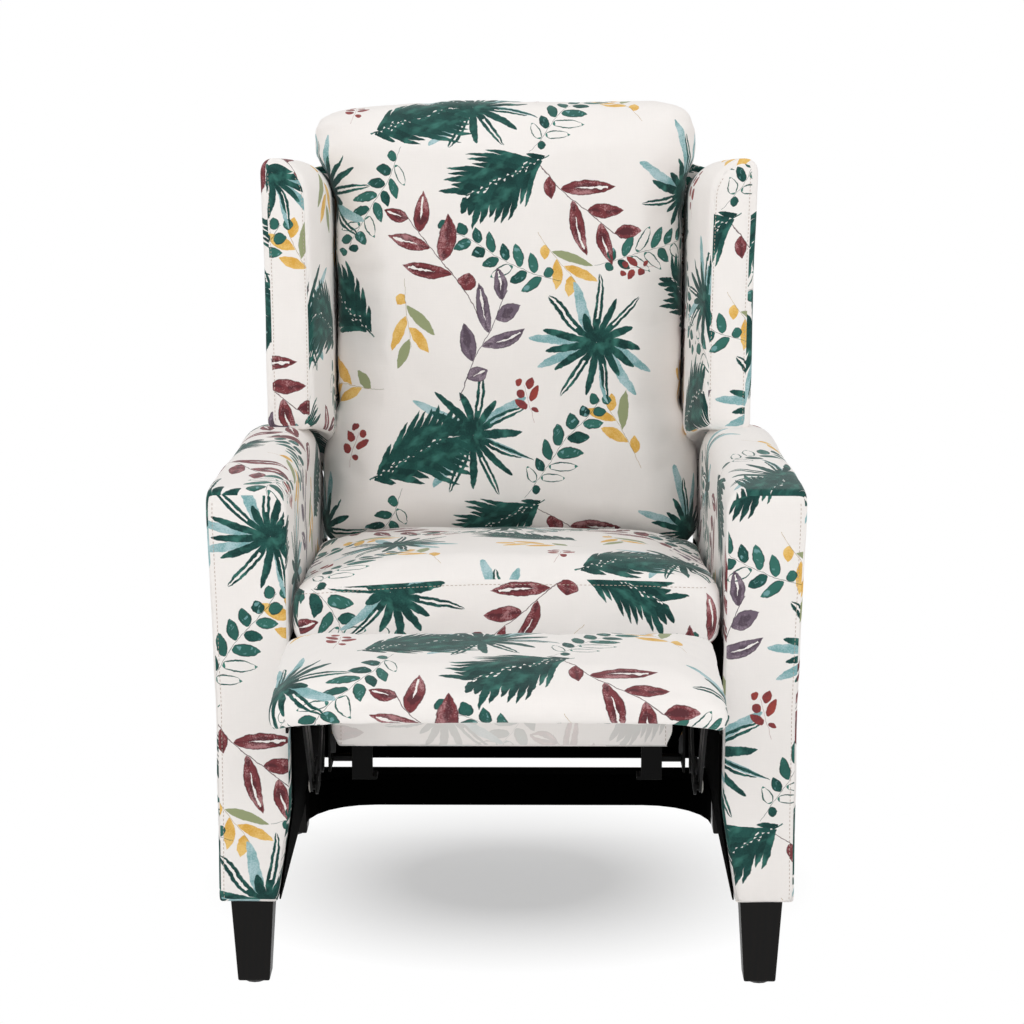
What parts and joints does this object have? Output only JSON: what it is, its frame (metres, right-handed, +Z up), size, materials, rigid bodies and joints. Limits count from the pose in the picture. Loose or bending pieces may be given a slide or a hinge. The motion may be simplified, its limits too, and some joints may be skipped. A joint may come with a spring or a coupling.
{
  "type": "wingback recliner",
  "caption": "Upholstered wingback recliner with rounded arms, tapered legs, a back that reclines as the seat glides, and a footrest that folds out on links.",
  "frame": {"origin": "middle of the chair's box with the footrest out and the back upright, on the floor", "axes": "+X to the right as seen from in front of the chair, +Y towards the rear, +Z up"},
  "size_m": [0.7, 1.057, 1.0256],
  "materials": {
    "printed_fabric": "matt woven polyester linen with a botanical print",
    "black_cloth": "matt black non-woven cloth over board",
    "dark_wood": "satin near-black stained hardwood",
    "frame_wood": "raw plywood and pine, hidden inside",
    "black_steel": "black electrophoretic coat on stamped steel",
    "spring_steel": "oiled spring wire",
    "nylon": "black nylon"
  },
  "bodies": {
    "base": {"arm_cover_right": "printed_fabric", "arm_cover_left": "printed_fabric", "arm_frame_right": "frame_wood", "arm_frame_left": "frame_wood", "arm_lining_right": "black_cloth", "arm_lining_left": "black_cloth", "leg_front_left": "dark_wood", "leg_front_right": "dark_wood", "leg_rear_left": "dark_wood", "leg_rear_right": "dark_wood", "glide_front_left": "nylon", "glide_front_right": "nylon", "glide_rear_left": "nylon", "glide_rear_right": "nylon", "base_stretcher": "black_cloth", "base_rear_rail": "printed_fabric", "seat_channel_right": "black_steel", "seat_channel_left": "black_steel"},
    "seat": {"seat_side_rail_right": "frame_wood", "seat_side_rail_left": "frame_wood", "seat_front_rail": "frame_wood", "seat_rear_rail": "frame_wood", "seat_front_band": "printed_fabric", "seat_dust_cloth": "black_cloth", "seat_spring_1": "spring_steel", "seat_spring_2": "spring_steel", "seat_spring_3": "spring_steel", "seat_cushion": "printed_fabric", "seat_plate_right": "black_steel", "seat_plate_left": "black_steel", "seat_runner_right": "nylon", "seat_runner_left": "nylon", "front_bracket_right": "black_steel", "front_bracket_left": "black_steel"},
    "back": {"back_post_right": "frame_wood", "back_post_left": "frame_wood", "back_bottom_rail": "frame_wood", "back_top_rail": "frame_wood", "back_hinge_plate_right": "black_steel", "back_hinge_plate_left": "black_steel", "back_cushion": "printed_fabric", "wing_cover_right": "printed_fabric", "wing_cover_left": "printed_fabric", "wing_panel_right": "frame_wood", "wing_panel_left": "frame_wood", "outside_back_upper": "printed_fabric", "outside_back_lower": "printed_fabric"},
    "front_links": {"swing_link_front_right": "black_steel", "swing_link_front_left": "black_steel"},
    "rear_links": {"swing_link_rear_right": "black_steel", "swing_link_rear_left": "black_steel"},
    "carrier": {"footrest_carrier_right": "black_steel", "footrest_carrier_left": "black_steel"},
    "flip_rods": {"footrest_flip_rod_right": "black_steel", "footrest_flip_rod_left": "black_steel"},
    "footrest": {"footrest_bracket_right": "black_steel", "footrest_bracket_left": "black_steel", "footrest_board": "frame_wood", "footrest_pad": "printed_fabric"}
  },
  "joints": [
    {"name": "back_recline", "type": "hinge", "parent": "seat", "child": "back", "pos_m": [0, 0.39849, 0.33], "axis": [-1, 0, 0], "range_deg": [0, 30]},
    {"name": "seat_glide", "type": "slide", "parent": "base", "child": "seat", "axis": [0, -1, 0], "range_m": [0, 0.05]},
    {"name": "footrest_fold", "type": "hinge", "parent": "seat", "child": "front_links", "pos_m": [0, -0.10151, 0.385], "axis": [1, 0, 0], "range_deg": [0, 90]},
    {"name": "rear_link_pivot", "type": "hinge", "parent": "seat", "child": "rear_links", "pos_m": [0, -0.04151, 0.385], "axis": [1, 0, 0], "range_deg": [0, 90]},
    {"name": "carrier_knee", "type": "hinge", "parent": "front_links", "child": "carrier", "pos_m": [0, -0.20899, 0.27752], "axis": [1, 0, 0], "range_deg": [-90, 0]},
    {"name": "flip_rod_knee", "type": "hinge", "parent": "front_links", "child": "flip_rods", "pos_m": [0, -0.23899, 0.27752], "axis": [1, 0, 0], "range_deg": [-90, 0]},
    {"name": "footrest_flip", "type": "hinge", "parent": "carrier", "child": "footrest", "pos_m": [0, -0.31151, 0.385], "axis": [1, 0, 0], "range_deg": [0, 90]}
  ],
  "couplings": [
    {"joint": "seat_glide", "follows": "back_recline", "m_per_rad": 0.09549},
    {"joint": "rear_link_pivot", "follows": "footrest_fold", "ratio": 1},
    {"joint": "carrier_knee", "follows": "footrest_fold", "ratio": -1},
    {"joint": "flip_rod_knee", "follows": "footrest_fold", "ratio": -1},
    {"joint": "footrest_flip", "follows": "footrest_fold", "ratio": 1}
  ]
}
